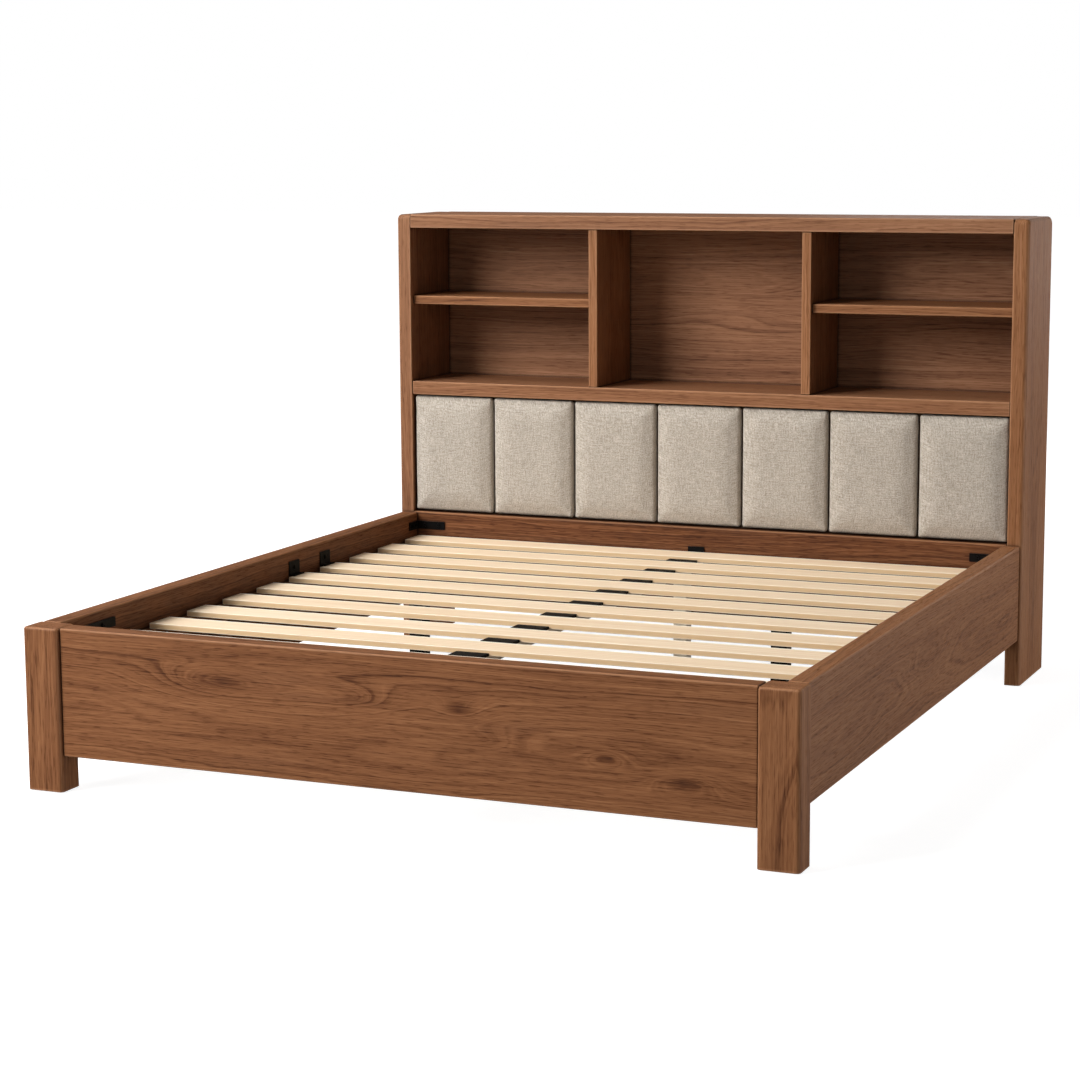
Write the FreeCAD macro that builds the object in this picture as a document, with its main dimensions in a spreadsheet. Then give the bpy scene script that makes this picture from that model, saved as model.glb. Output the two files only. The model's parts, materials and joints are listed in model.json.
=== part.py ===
import FreeCAD, Part
import Sketcher
import math
import os

# A wooden bed: bookcase headboard with a padded band, side rails, footboard and a slatted base.
# Frame: +X to the right seen from the foot, +Y from foot to head, +Z up.
# The origin is on the floor under the middle of the bed. Lengths are millimetres.

SIZES = {
    # Whole bed
    "bed_width": 1980,
    "rail_length": 2000,
    "rail_top": 410,
    "headboard_height": 1340,
    "headboard_depth": 300,
    # Posts
    "head_post_width": 45,
    "head_post_edge_round": 12,
    "head_post_back_round": 26,
    "head_post_front_round": 16,
    "foot_post_width": 100,
    "foot_post_depth": 80,
    "foot_post_edge_round": 11,
    "foot_post_top_round": 8,
    "glide_radius": 18,
    "glide_thickness": 3,
    # Rails and footboard
    "rail_height": 275,
    "rail_thickness": 50,
    "rail_inset": 8,
    "rail_ease": 4,
    "footboard_height": 318,
    "footboard_thickness": 55,
    "footboard_recess": 10,
    "tenon_length": 22,
    "tenon_thickness": 24,
    "tenon_shoulder": 45,
    "tenon_clearance": 0.2,
    "head_rail_rise": 3,
    "head_rail_thickness": 40,
    # Bookcase
    "board_ease": 2.5,
    "top_panel_thickness": 41,
    "base_shelf_height": 782,
    "base_shelf_thickness": 41,
    "base_shelf_recess": 3,
    "divider_thickness": 28,
    "divider_offset": 336,
    "divider_recess": 4,
    "side_shelf_thickness": 26,
    "side_shelf_recess": 20,
    "back_panel_thickness": 12,
    "back_panel_inset": 8,
    "groove_depth": 6,
    "groove_clearance": 0.2,
    # Padded band
    "pad_depth": 43,
    "pad_low_gap": 2,
    "pad_high_gap": 2,
    "pad_clearance": 0.3,
    "pad_draw_in": 3,
    "pad_roll": 10,
    "pad_roll_depth": 14,
    "pad_crown": 10,
    "pad_crown_inset": 65,
    "pad_corner_round": 8,
    "backing_thickness": 15,
    "backing_lap": 60,
    # Slats and their ledgers
    "slat_width": 97,
    "slat_thickness": 15,
    "slat_ease": 1.5,
    "slat_drop": 70,
    "slat_end_gap": 10,
    "slat_head_gap": 14,
    "slat_foot_gap": 30,
    "ledger_thickness": 30,
    "ledger_height": 40,
    "peg_radius": 4,
    "peg_length": 22,
    "peg_slat_depth": 8,
    # Centre beam, its hangers and the spacers on it
    "beam_width": 50,
    "beam_height": 30,
    "beam_wall": 2,
    "beam_end_gap": 10,
    "hanger_width": 50,
    "hanger_thickness": 4,
    "hanger_seat": 40,
    "hanger_rise": 14,
    "hanger_bolt_spacing": 32,
    "spacer_width": 88,
    "spacer_height": 7,
    "spacer_ease": 1.5,
    "spacer_slat_gap": 0.5,
    "spacer_stem_radius": 4,
    "spacer_stem_length": 8,
    # Support legs and levelling feet
    "leg_width": 45,
    "leg_depth": 40,
    "leg_wall": 2,
    "leg_plate_width": 120,
    "leg_plate_depth": 50,
    "leg_plate_thickness": 4,
    "leg_bolt_spacing": 92,
    "leg_floor_gap": 30,
    "leg_nut_height": 12,
    "slat_leg_offset": 533,
    "centre_leg_spacing": 1540,
    "foot_radius": 20,
    "foot_thickness": 8,
    "foot_boss_radius": 9,
    "foot_boss_height": 8,
    "stem_radius": 5,
    "stem_length": 40,
    "stem_clearance": 0.05,
    # Corner brackets and slat clips
    "bracket_thickness": 4,
    "bracket_drop": 27,
    "bracket_height": 24,
    "head_bracket_face": 95,
    "head_bracket_rail": 60,
    "foot_bracket_face": 38,
    "foot_bracket_rail": 240,
    "clip_thickness": 3,
    "clip_width": 60,
    "clip_rise": 40,
    "clip_lip": 18,
    "clip_slat_gap": 0.5,
    # Bolts, screws and dowels
    "bolt_radius": 3,
    "bolt_length": 14,
    "bolt_head_radius": 6,
    "bolt_head_height": 4,
    "bolt_socket_radius": 2.4,
    "bolt_socket_depth": 2.5,
    "bolt_clearance": 0.2,
    "screw_radius": 2.5,
    "screw_length": 55,
    "screw_head_radius": 5,
    "screw_head_height": 3,
    "screw_socket_radius": 2.2,
    "screw_socket_depth": 2,
    "backing_screw_radius": 2,
    "backing_screw_length": 35,
    "backing_screw_head_radius": 4,
    "backing_screw_head_height": 2.5,
    "backing_screw_socket_radius": 1.7,
    "backing_screw_socket_depth": 1.5,
    "screw_clearance": 0.1,
    "dowel_radius": 5,
    "dowel_length": 40,
    "dowel_ease": 1,
    "dowel_clearance": 0.1,
    "hole_end_gap": 0.5,
    "cut_overrun": 5,
    "edge_match": 0.001,
}

PAD_COUNT = 7
SLAT_COUNT = 11
# Slats are numbered from 1 at the foot. The one past the middle carries the side legs, and the rail
# clips hold down that one and the next.
LEG_SLAT = (SLAT_COUNT + 1) // 2 + 1
CLIP_SLATS = (LEG_SLAT, LEG_SLAT + 1)

# The rolled front edge of a pad is a quarter ellipse in this many steps.
PAD_ROLL_STEPS = 4
# Start, middle and end of an arc.
ARC_SHARES = (0, 0.5, 1)
# How much of the open height beside a side shelf lies under it.
LOWER_BAY_SHARE = 0.533
# Places of dowels, screws and bolts along the board that they hold.
DEEP_BOARD_SHARES = (0.15, 0.5, 0.85)
PAIR_SHARES = (0.25, 0.75)
RAIL_DOWEL_SHARES = (0.1, 0.9)
LEDGER_SCREW_SHARES = (0.04, 0.22, 0.4, 0.6, 0.78, 0.96)
BACKING_SCREW_SHARES = (0.05, 0.275, 0.5, 0.725, 0.95)
HEAD_GLIDE_SHARES = (0.15, 0.85)

# Places worked out from the sizes. A later line may use an earlier one.
PLACES = {
    "half_width": "sizes.bed_width / 2",
    "head_back": "(sizes.foot_post_depth + sizes.rail_length + sizes.headboard_depth) / 2",
    "head_front": "head_back - sizes.headboard_depth",
    "foot_front": "-head_back",
    "foot_post_back": "foot_front + sizes.foot_post_depth",
    "head_post_inner": "half_width - sizes.head_post_width",
    "foot_post_inner": "half_width - sizes.foot_post_width",
    "rail_outer": "half_width - sizes.rail_inset",
    "rail_inner": "rail_outer - sizes.rail_thickness",
    "rail_bottom": "sizes.rail_top - sizes.rail_height",
    "footboard_front": "foot_front + sizes.footboard_recess",
    "footboard_back": "footboard_front + sizes.footboard_thickness",
    "footboard_bottom": "sizes.rail_top - sizes.footboard_height",
    "tenon_middle": "(footboard_front + footboard_back) / 2",
    "head_rail_top": "sizes.rail_top + sizes.head_rail_rise",
    "head_rail_back": "head_front + sizes.head_rail_thickness",
    "top_panel_bottom": "sizes.headboard_height - sizes.top_panel_thickness",
    "base_shelf_top": "sizes.base_shelf_height + sizes.base_shelf_thickness",
    "base_shelf_front": "head_front + sizes.base_shelf_recess",
    "divider_inner": "sizes.divider_offset - sizes.divider_thickness / 2",
    "divider_outer": "sizes.divider_offset + sizes.divider_thickness / 2",
    "divider_front": "head_front + sizes.divider_recess",
    "side_bay_space": "top_panel_bottom - base_shelf_top - sizes.side_shelf_thickness",
    "side_shelf_bottom": f"base_shelf_top + side_bay_space * {LOWER_BAY_SHARE}",
    "side_shelf_top": "side_shelf_bottom + sizes.side_shelf_thickness",
    "side_shelf_front": "head_front + sizes.side_shelf_recess",
    "back_panel_back": "head_back - sizes.back_panel_inset",
    "back_panel_front": "back_panel_back - sizes.back_panel_thickness",
    "back_panel_edge": "head_post_inner + sizes.groove_depth - sizes.groove_clearance",
    "back_panel_seam": "(sizes.base_shelf_height + base_shelf_top) / 2",
    "back_panel_top": "top_panel_bottom + sizes.groove_depth - sizes.groove_clearance",
    "backing_back": "head_rail_back + sizes.backing_thickness",
    "backing_bottom": "head_rail_top - sizes.backing_lap",
    "backing_top": "sizes.base_shelf_height + sizes.groove_depth - sizes.groove_clearance",
    "pad_bottom": "head_rail_top + sizes.pad_low_gap",
    "pad_top": "sizes.base_shelf_height - sizes.pad_high_gap",
    "slat_top": "sizes.rail_top - sizes.slat_drop",
    "slat_bottom": "slat_top - sizes.slat_thickness",
    "slat_end": "rail_inner - sizes.slat_end_gap",
    "slat_low": "footboard_back + sizes.slat_foot_gap",
    "slat_high": "head_front - sizes.slat_head_gap - sizes.slat_width",
    "ledger_inner": "rail_inner - sizes.ledger_thickness",
    "ledger_bottom": "slat_bottom - sizes.ledger_height",
    "beam_bottom": "slat_bottom - sizes.beam_height",
    "beam_side": "sizes.beam_width / 2",
    "hanger_bottom": "beam_bottom - sizes.hanger_thickness",
    "hanger_top": "slat_top + sizes.hanger_rise",
    "bracket_top": "sizes.rail_top - sizes.bracket_drop",
    "bracket_bottom": "bracket_top - sizes.bracket_height",
    "clip_bottom": "slat_top + sizes.clip_slat_gap",
    "nut_top": "sizes.leg_floor_gap + sizes.leg_nut_height",
    "middle": "0",
    "slat_leg_x": "sizes.slat_leg_offset",
    "leg_slat_low": f"slat_low + (slat_high - slat_low) * {LEG_SLAT - 1} / {SLAT_COUNT - 1}",
    "slat_leg_y": "leg_slat_low + sizes.slat_width / 2",
    "centre_leg_y": "sizes.centre_leg_spacing / 2",
}

# Spans that several pieces of the headboard share.
BETWEEN_POSTS = ("-places.head_post_inner", "places.head_post_inner")
PAST_POSTS = ("-places.head_post_inner - sizes.cut_overrun", "places.head_post_inner + sizes.cut_overrun")
BACK_PANEL_SPAN = ("places.back_panel_front", "places.back_panel_back")
BACK_GROOVE_SPAN = ("places.back_panel_front - sizes.groove_clearance",
                    "places.back_panel_back + sizes.groove_clearance")

SIDES = (("left", -1), ("right", 1))
QUARTER_TURN = 90
FULL_TURN = 360
KEY_CORNERS = 6
X_AXIS = FreeCAD.Vector(1, 0, 0)
Y_AXIS = FreeCAD.Vector(0, 1, 0)
Z_AXIS = FreeCAD.Vector(0, 0, 1)

doc = FreeCAD.newDocument("bed")


def write_sheet(name, cells):
    """Puts names and cell texts in the first two columns of a sheet, each cell under its alias."""
    sheet = doc.addObject("Spreadsheet::Sheet", name)
    for row, (alias, text) in enumerate(cells, start=1):
        sheet.set(f"A{row}", alias)
        sheet.set(f"B{row}", text)
        sheet.setAlias(f"B{row}", alias)
    doc.recompute()
    return sheet


sizes = write_sheet("sizes", [(name, str(value)) for name, value in SIZES.items()])
places = write_sheet("places", [(name, "=" + formula) for name, formula in PLACES.items()])

# What the build collects: finished nodes, pieces before their cuts, what is cut out of them, and fasteners.
nodes = {}
blanks = {}
grooves = {}
holes = {}
groups = {}


def size(name):
    """A driving size, as a number."""
    return float(getattr(sizes, name))


def place(name):
    """A worked-out place, as a number."""
    return float(getattr(places, name))


def point(x, y, z):
    return FreeCAD.Vector(x, y, z)


def bind(item, expressions):
    """Ties properties of an object to the sheets."""
    for name, expression in expressions.items():
        item.setExpression(name, expression)


def put(item, x, y, z):
    """Ties an object's corner to three expressions."""
    bind(item, {"Placement.Base.x": x, "Placement.Base.y": y, "Placement.Base.z": z})


def span(low_high):
    low, high = low_high
    return f"({high}) - ({low})"


def mirrored(side, inner, outer):
    """The span between two distances from the middle plane, on one side of it."""
    return (inner, outer) if side > 0 else (f"-({outer})", f"-({inner})")


def ordered(inward, start, end):
    """A span that starts at a wall and goes inward along Y, low end first."""
    return (start, end) if inward > 0 else (end, start)


def box(name, xs, ys, zs):
    """A plain block between three pairs of expressions."""
    block = doc.addObject("Part::Box", name)
    bind(block, {"Length": span(xs), "Width": span(ys), "Height": span(zs)})
    put(block, xs[0], ys[0], zs[0])
    return block


def rectangle_body(name, xs, ys, zs):
    """A body padded up from a rectangle whose corner is at the body's own origin."""
    body = doc.addObject("PartDesign::Body", name)
    sketch = body.newObject("Sketcher::SketchObject", name + "_outline")
    ground = [plane for plane in body.Origin.OriginFeatures if plane.Role == "XY_Plane"][0]
    sketch.AttachmentSupport = [(ground, "")]
    sketch.MapMode = "FlatFace"
    corners = [point(0, 0, 0), point(1, 0, 0), point(1, 1, 0), point(0, 1, 0)]
    for index in range(4):
        sketch.addGeometry(Part.LineSegment(corners[index], corners[(index + 1) % 4]), False)
    for index in range(4):
        sketch.addConstraint(Sketcher.Constraint("Coincident", index, 2, (index + 1) % 4, 1))
        direction = "Horizontal" if index % 2 == 0 else "Vertical"
        sketch.addConstraint(Sketcher.Constraint(direction, index))
    sketch.addConstraint(Sketcher.Constraint("Coincident", 0, 1, -1, 1))
    along = sketch.addConstraint(Sketcher.Constraint("DistanceX", 0, 1, 0, 2, 1))
    across = sketch.addConstraint(Sketcher.Constraint("DistanceY", 1, 1, 1, 2, 1))
    sketch.renameConstraint(along, "along")
    sketch.renameConstraint(across, "across")
    bind(sketch, {"Constraints.along": span(xs), "Constraints.across": span(ys)})
    pad = body.newObject("PartDesign::Pad", name + "_pad")
    pad.Profile = sketch
    pad.setExpression("Length", span(zs))
    put(body, xs[0], ys[0], zs[0])
    doc.recompute()
    return body


def edge_names(shape, chosen):
    """Names of a shape's edges for which the test holds."""
    return [f"Edge{number}" for number, edge in enumerate(shape.Edges, start=1) if chosen(edge)]


def round_edges(body, name, radius, chosen):
    """Rounds the edges of a body for which the test holds."""
    base = body.Tip
    fillet = body.newObject("PartDesign::Fillet", name)
    fillet.Base = (base, edge_names(base.Shape, chosen))
    fillet.setExpression("Radius", radius)
    body.Tip = fillet
    doc.recompute()


def every_edge(edge):
    return True


def flat_at(edge, axis, value):
    """True where both ends of an edge lie at a value along an axis."""
    return all(abs(getattr(vertex.Point, axis) - value) < size("edge_match") for vertex in edge.Vertexes)


def board(label, xs, ys, zs, ease=None):
    """A board, with every edge eased where a radius is named."""
    body = rectangle_body(label + "_blank", xs, ys, zs)
    if ease:
        round_edges(body, label + "_ease", ease, every_edge)
    blanks[label] = body
    return body


def compound(label, items):
    """One object that holds several others."""
    group = doc.addObject("Part::Compound", label)
    group.Links = items
    return group


def fused(label, items):
    """One solid from blocks that touch or overlap."""
    union = doc.addObject("Part::MultiFuse", label)
    union.Shapes = items
    union.Refine = True
    return union


def cut(label, base, tool):
    """A piece less what is cut out of it."""
    rest = doc.addObject("Part::Cut", label)
    rest.Base = base
    rest.Tool = tool
    return rest


def around(middle, width):
    """The span of a width about its middle."""
    return f"{middle} - {width} / 2", f"{middle} + {width} / 2"


def groove(label, name, xs, ys, zs):
    """Adds a block to what is cut out of a piece."""
    grooves.setdefault(label, []).append(box(name, xs, ys, zs))


def drill(label, radius, start, direction, depth):
    """Adds a round hole to what is cut out of a piece, open at its start."""
    overrun = size("cut_overrun")
    hole = Part.makeCylinder(radius, depth + overrun, start - direction * overrun, direction)
    holes.setdefault(label, []).append(hole)


def turned(profile):
    """A solid turned about Z from a closed outline of radius and height pairs."""
    outline = Part.makePolygon([point(radius, 0, height) for radius, height in profile + profile[:1]])
    return Part.Face(outline).revolve(point(0, 0, 0), Z_AXIS, FULL_TURN)


def aimed(shape, where, direction):
    """A copy of a shape made along Z, turned to a direction and moved to a place."""
    copy = shape.copy()
    copy.Placement = FreeCAD.Placement(where, FreeCAD.Rotation(Z_AXIS, direction))
    return copy


def peg(group, radius, below, above, where, direction, first, second):
    """A round peg across a joint: below the joint's plane in the first piece, above it in the second."""
    ease = size("dowel_ease")
    length = below + above
    solid = turned([(0, 0), (radius - ease, 0), (radius, ease), (radius, length - ease),
                    (radius - ease, length), (0, length)])
    groups.setdefault(group, []).append(aimed(solid, where - direction * below, direction))
    wide = radius + size("dowel_clearance")
    drill(first, wide, where, -direction, below + size("hole_end_gap"))
    drill(second, wide, where, direction, above + size("hole_end_gap"))


def dowel(where, direction, first, second):
    """A dowel, half in each of two boards."""
    half = size("dowel_length") / 2
    peg("dowels", size("dowel_radius"), half, half, where, direction, first, second)


def key_socket(radius, bottom, top):
    """A six-sided block between two heights, which a key's socket leaves open."""
    turns = [math.radians(FULL_TURN * corner / KEY_CORNERS) for corner in range(KEY_CORNERS)]
    corners = [point(radius * math.cos(turn), radius * math.sin(turn), bottom) for turn in turns]
    return Part.Face(Part.makePolygon(corners + corners[:1])).extrude(Z_AXIS * (top - bottom))


def headed(group, kind, clearance, where, direction, pieces):
    """A bolt or screw whose head sits on a face, and its hole in each piece that it goes into."""
    radius = size(kind + "_radius")
    length = size(kind + "_length")
    head_radius = size(kind + "_head_radius")
    head_height = size(kind + "_head_height")
    solid = turned([(0, -head_height), (head_radius, -head_height), (head_radius, 0), (radius, 0),
                    (radius, length), (0, length)])
    socket = key_socket(size(kind + "_socket_radius"), -head_height - size("cut_overrun"),
                        size(kind + "_socket_depth") - head_height)
    groups.setdefault(group, []).append(aimed(solid.cut(socket), where, direction))
    for label in pieces:
        drill(label, radius + clearance, where, direction, length + size("hole_end_gap"))


def bolt(where, direction, pieces):
    headed("fixing_bolts", "bolt", size("bolt_clearance"), where, direction, pieces)


def along(low, high, share):
    return low + (high - low) * share


# Headboard


def head_post(label, side):
    """An upright that reaches the floor, with a rounded outside."""
    xs = mirrored(side, "places.head_post_inner", "places.half_width")
    body = rectangle_body(label + "_blank", xs, ("places.head_front", "places.head_back"),
                          ("sizes.glide_thickness", "sizes.headboard_height"))
    height = size("headboard_height") - size("glide_thickness")
    depth = size("headboard_depth")
    outer, inner = (size("head_post_width"), 0) if side > 0 else (0, size("head_post_width"))
    round_edges(body, label + "_back_round", "sizes.head_post_back_round",
                lambda edge: flat_at(edge, "z", height) and flat_at(edge, "y", depth))
    round_edges(body, label + "_front_round", "sizes.head_post_front_round",
                lambda edge: flat_at(edge, "z", height) and flat_at(edge, "y", 0))
    round_edges(body, label + "_edge_round", "sizes.head_post_edge_round",
                lambda edge: flat_at(edge, "x", outer) and not flat_at(edge, "z", 0))
    round_edges(body, label + "_ease", "sizes.board_ease",
                lambda edge: flat_at(edge, "x", inner) and not flat_at(edge, "z", 0))
    blanks[label] = body
    groove(label, label + "_groove",
           mirrored(side, "places.head_post_inner - sizes.cut_overrun",
                    "places.head_post_inner + sizes.groove_depth"),
           BACK_GROOVE_SPAN,
           ("places.rail_bottom - sizes.groove_clearance", "places.top_panel_bottom + sizes.groove_depth"))


def headboard_boards():
    """The boards between the head posts."""
    board("headboard_top_panel", BETWEEN_POSTS, ("places.head_front", "places.head_back"),
          ("places.top_panel_bottom", "sizes.headboard_height"), "sizes.board_ease")
    groove("headboard_top_panel", "top_panel_groove", PAST_POSTS, BACK_GROOVE_SPAN,
           ("places.top_panel_bottom - sizes.cut_overrun", "places.top_panel_bottom + sizes.groove_depth"))
    board("bookcase_base_shelf", BETWEEN_POSTS, ("places.base_shelf_front", "places.back_panel_front"),
          ("sizes.base_shelf_height", "places.base_shelf_top"), "sizes.board_ease")
    groove("bookcase_base_shelf", "base_shelf_groove", PAST_POSTS,
           ("places.head_rail_back - sizes.groove_clearance",
            "places.backing_back + sizes.groove_clearance"),
           ("sizes.base_shelf_height - sizes.cut_overrun", "sizes.base_shelf_height + sizes.groove_depth"))
    board("head_rail", BETWEEN_POSTS, ("places.head_front", "places.head_rail_back"),
          ("places.rail_bottom", "places.head_rail_top"), "sizes.rail_ease")
    board("pad_backing_board", BETWEEN_POSTS, ("places.head_rail_back", "places.backing_back"),
          ("places.backing_bottom", "places.backing_top"))
    in_grooves = ("-places.back_panel_edge", "places.back_panel_edge")
    board("bookcase_back_panel", in_grooves, BACK_PANEL_SPAN,
          ("places.back_panel_seam", "places.back_panel_top"))
    board("lower_back_panel", in_grooves, BACK_PANEL_SPAN,
          ("places.rail_bottom", "places.back_panel_seam"))
    for name, side in SIDES:
        board(f"{name}_divider", mirrored(side, "places.divider_inner", "places.divider_outer"),
              ("places.divider_front", "places.back_panel_front"),
              ("places.base_shelf_top", "places.top_panel_bottom"), "sizes.board_ease")
        board(f"{name}_shelf", mirrored(side, "places.divider_outer", "places.head_post_inner"),
              ("places.side_shelf_front", "places.back_panel_front"),
              ("places.side_shelf_bottom", "places.side_shelf_top"), "sizes.board_ease")


def headboard_joints():
    """Dowels of the headboard's joints and the screws of the pads' board."""
    front, back = place("head_front"), place("back_panel_front")
    for name, side in SIDES:
        outward = X_AXIS * side
        post = f"{name}_head_post"
        inner = place("head_post_inner") * side
        for share in DEEP_BOARD_SHARES:
            depth = along(front, back, share)
            top_middle = (place("top_panel_bottom") + size("headboard_height")) / 2
            dowel(point(inner, depth, top_middle), outward, "headboard_top_panel", post)
            dowel(point(inner, depth, place("back_panel_seam")), outward, "bookcase_base_shelf", post)
        for share in PAIR_SHARES:
            rail_middle = (front + place("head_rail_back")) / 2
            height = along(place("rail_bottom"), place("head_rail_top"), share)
            dowel(point(inner, rail_middle, height), outward, "head_rail", post)
            depth = along(place("divider_front"), back, share)
            middle = size("divider_offset") * side
            divider, shelf = f"{name}_divider", f"{name}_shelf"
            dowel(point(middle, depth, place("top_panel_bottom")), Z_AXIS, divider, "headboard_top_panel")
            dowel(point(middle, depth, place("base_shelf_top")), -Z_AXIS, divider, "bookcase_base_shelf")
            depth = along(place("side_shelf_front"), back, share)
            height = (place("side_shelf_bottom") + place("side_shelf_top")) / 2
            dowel(point(inner, depth, height), outward, shelf, post)
            dowel(point(place("divider_outer") * side, depth, height), -outward, shelf, divider)
    for share in BACKING_SCREW_SHARES:
        across = along(-place("head_post_inner"), place("head_post_inner"), share)
        height = (place("backing_bottom") + place("head_rail_top")) / 2
        where = point(across, place("backing_back"), height)
        headed("backing_screws", "backing_screw", size("screw_clearance"), where, -Y_AXIS,
               ("pad_backing_board", "head_rail"))


def rounded_rectangle(x_low, x_high, z_low, z_high, y, corner):
    """A closed wire of four lines and four quarter arcs in a plane across Y."""
    arcs = []
    middles = [(x_high - corner, z_low + corner), (x_high - corner, z_high - corner),
               (x_low + corner, z_high - corner), (x_low + corner, z_low + corner)]
    for index, (x, z) in enumerate(middles):
        turns = [math.radians(QUARTER_TURN * (index - 1 + share)) for share in ARC_SHARES]
        through = [point(x + corner * math.cos(turn), y, z + corner * math.sin(turn)) for turn in turns]
        arcs.append(Part.Arc(*through).toShape())
    wire = []
    for index, arc in enumerate(arcs):
        following = arcs[(index + 1) % len(arcs)]
        wire += [arc, Part.LineSegment(arc.lastVertex().Point, following.firstVertex().Point).toShape()]
    return Part.Wire(wire)


def pad_sections():
    """Depth from the back and inset from the edge of each section of a pad."""
    depth, roll, roll_depth = size("pad_depth"), size("pad_roll"), size("pad_roll_depth")
    roll_start = depth - size("pad_crown") - roll_depth
    sections = [(0, size("pad_draw_in"))]
    for step in range(PAD_ROLL_STEPS + 1):
        turn = math.radians(QUARTER_TURN * step / PAD_ROLL_STEPS)
        sections.append((roll_start + roll_depth * math.sin(turn), roll * (1 - math.cos(turn))))
    sections.append((depth, size("pad_crown_inset")))
    return sections


def headboard_pads():
    """Padded channels side by side: drawn in at the back, full in the middle and crowned in front."""
    width = place("head_post_inner") * 2 / PAD_COUNT
    gap = size("pad_clearance")
    back = place("head_rail_back") - gap
    for number in range(PAD_COUNT):
        low = -place("head_post_inner") + width * number + gap
        high = low + width - gap * 2
        wires = [rounded_rectangle(low + inset, high - inset, place("pad_bottom") + inset,
                                   place("pad_top") - inset, back - depth, size("pad_corner_round"))
                 for depth, inset in pad_sections()]
        pad = doc.addObject("Part::Feature", f"headboard_pad_{number + 1}")
        pad.Shape = Part.makeLoft(wires, True, True)
        nodes[f"headboard_pad_{number + 1}"] = pad


# Rails, footboard and foot posts


def foot_post(label, side):
    """A foot post with rounded uprights and top, mortised for the footboard."""
    xs = mirrored(side, "places.foot_post_inner", "places.half_width")
    body = rectangle_body(label + "_blank", xs, ("places.foot_front", "places.foot_post_back"),
                          ("sizes.glide_thickness", "sizes.rail_top"))
    height = size("rail_top") - size("glide_thickness")
    round_edges(body, label + "_edge_round", "sizes.foot_post_edge_round",
                lambda edge: not flat_at(edge, "z", 0) and not flat_at(edge, "z", height))
    round_edges(body, label + "_top_round", "sizes.foot_post_top_round",
                lambda edge: flat_at(edge, "z", height))
    blanks[label] = body
    groove(label, label + "_mortise",
           mirrored(side, "places.foot_post_inner - sizes.cut_overrun",
                    "places.foot_post_inner + sizes.tenon_length + sizes.tenon_clearance"),
           around("places.tenon_middle", "(sizes.tenon_thickness + 2 * sizes.tenon_clearance)"),
           ("places.footboard_bottom + sizes.tenon_shoulder - sizes.tenon_clearance",
            "sizes.rail_top - sizes.tenon_shoulder + sizes.tenon_clearance"))


def footboard():
    """The footboard, with a tenon at each end."""
    pieces = [rectangle_body("footboard_panel", ("-places.foot_post_inner", "places.foot_post_inner"),
                             ("places.footboard_front", "places.footboard_back"),
                             ("places.footboard_bottom", "sizes.rail_top"))]
    round_edges(pieces[0], "footboard_ease", "sizes.rail_ease", every_edge)
    for name, side in SIDES:
        pieces.append(box(f"{name}_tenon",
                          mirrored(side, "places.foot_post_inner - sizes.tenon_length",
                                   "places.foot_post_inner + sizes.tenon_length"),
                          around("places.tenon_middle", "sizes.tenon_thickness"),
                          ("places.footboard_bottom + sizes.tenon_shoulder",
                           "sizes.rail_top - sizes.tenon_shoulder")))
    blanks["footboard"] = fused("footboard_blank", pieces)


def side_rails():
    """Side rails, the ledgers screwed to their inner faces, and the dowels of the rails' ends."""
    for name, side in SIDES:
        lengthwise = ("places.foot_post_back", "places.head_front")
        board(f"{name}_side_rail", mirrored(side, "places.rail_inner", "places.rail_outer"), lengthwise,
              ("places.rail_bottom", "sizes.rail_top"), "sizes.rail_ease")
        board(f"{name}_slat_ledger", mirrored(side, "places.ledger_inner", "places.rail_inner"), lengthwise,
              ("places.ledger_bottom", "places.slat_bottom"))
        low, high = place("foot_post_back"), place("head_front")
        for share in LEDGER_SCREW_SHARES:
            where = point(place("ledger_inner") * side, along(low, high, share),
                          (place("ledger_bottom") + place("slat_bottom")) / 2)
            headed("ledger_screws", "screw", size("screw_clearance"), where, X_AXIS * side,
                   (f"{name}_slat_ledger", f"{name}_side_rail"))
        for share in RAIL_DOWEL_SHARES:
            height = along(place("rail_bottom"), size("rail_top"), share)
            head_middle = (place("head_post_inner") + place("rail_outer")) / 2 * side
            foot_middle = (place("rail_inner") + place("rail_outer")) / 2 * side
            dowel(point(head_middle, high, height), Y_AXIS, f"{name}_side_rail", f"{name}_head_post")
            dowel(point(foot_middle, low, height), -Y_AXIS, f"{name}_side_rail", f"{name}_foot_post")


def floor_glides():
    """Round glides under the posts."""
    spots = []
    for _, side in SIDES:
        foot_middle = f"{side} * (places.half_width - sizes.foot_post_width / 2)"
        spots.append((foot_middle, "places.foot_front + sizes.foot_post_depth / 2"))
        for share in HEAD_GLIDE_SHARES:
            head_middle = f"{side} * (places.half_width - sizes.head_post_width / 2)"
            spots.append((head_middle, f"places.head_front + sizes.headboard_depth * {share}"))
    discs = []
    for number, (x, y) in enumerate(spots, start=1):
        disc = doc.addObject("Part::Cylinder", f"glide_{number}")
        bind(disc, {"Radius": "sizes.glide_radius", "Height": "sizes.glide_thickness"})
        bind(disc, {"Placement.Base.x": x, "Placement.Base.y": y})
        discs.append(disc)
    nodes["floor_glides"] = compound("floor_glides", discs)


# Slatted base


def slat_low(number):
    """Expression for the foot-side edge of a slat, counted from 1 at the foot."""
    return f"places.slat_low + (places.slat_high - places.slat_low) * {number - 1} / {SLAT_COUNT - 1}"


def slat_middle(number):
    """Middle of a slat along the bed."""
    share = (number - 1) / (SLAT_COUNT - 1)
    return along(place("slat_low"), place("slat_high"), share) + size("slat_width") / 2


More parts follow.
